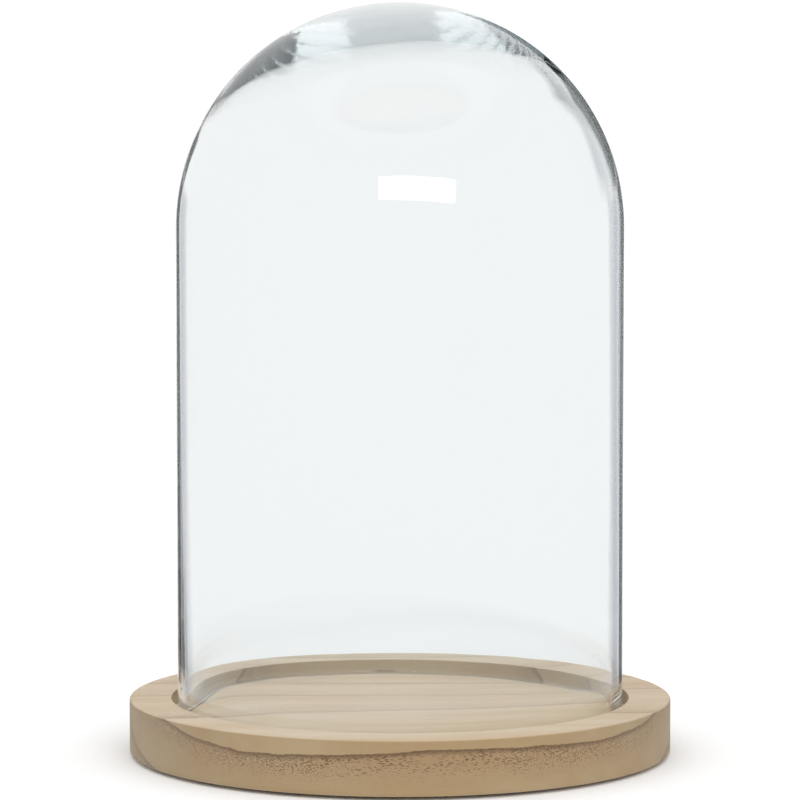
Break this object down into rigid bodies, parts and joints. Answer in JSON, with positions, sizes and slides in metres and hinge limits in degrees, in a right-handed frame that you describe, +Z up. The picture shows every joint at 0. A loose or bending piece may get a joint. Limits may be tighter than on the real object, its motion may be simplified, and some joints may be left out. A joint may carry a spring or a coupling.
{
  "type": "bell jar dome",
  "caption": "Clear glass display dome with a rounded top, standing in the shallow round recess of a turned wooden base, and lifting off it.",
  "frame": {"origin": "on the surface the foot pads stand on, below the centre of the base", "axes": "+Z up along the axis of the dome and the base; the wood grain runs along X, and -Y is the front"},
  "size_m": [0.22, 0.22, 0.304],
  "materials": {
    "base_wood": "bare sanded pale timber with a straight open grain, matt",
    "dome_glass": "clear blown soda-lime glass, fire-polished lower edge",
    "pad_rubber": "matt black foam rubber, self-adhesive"
  },
  "bodies": {
    "base": {"base_plate": "base_wood", "foot_pad_1": "pad_rubber", "foot_pad_2": "pad_rubber", "foot_pad_3": "pad_rubber", "foot_pad_4": "pad_rubber"},
    "dome": {"glass_dome": "dome_glass"}
  },
  "joints": [
    {"name": "dome_lift", "type": "slide", "parent": "base", "child": "dome", "axis": [0, 0, 1], "range_m": [0, 0.3]}
  ]
}
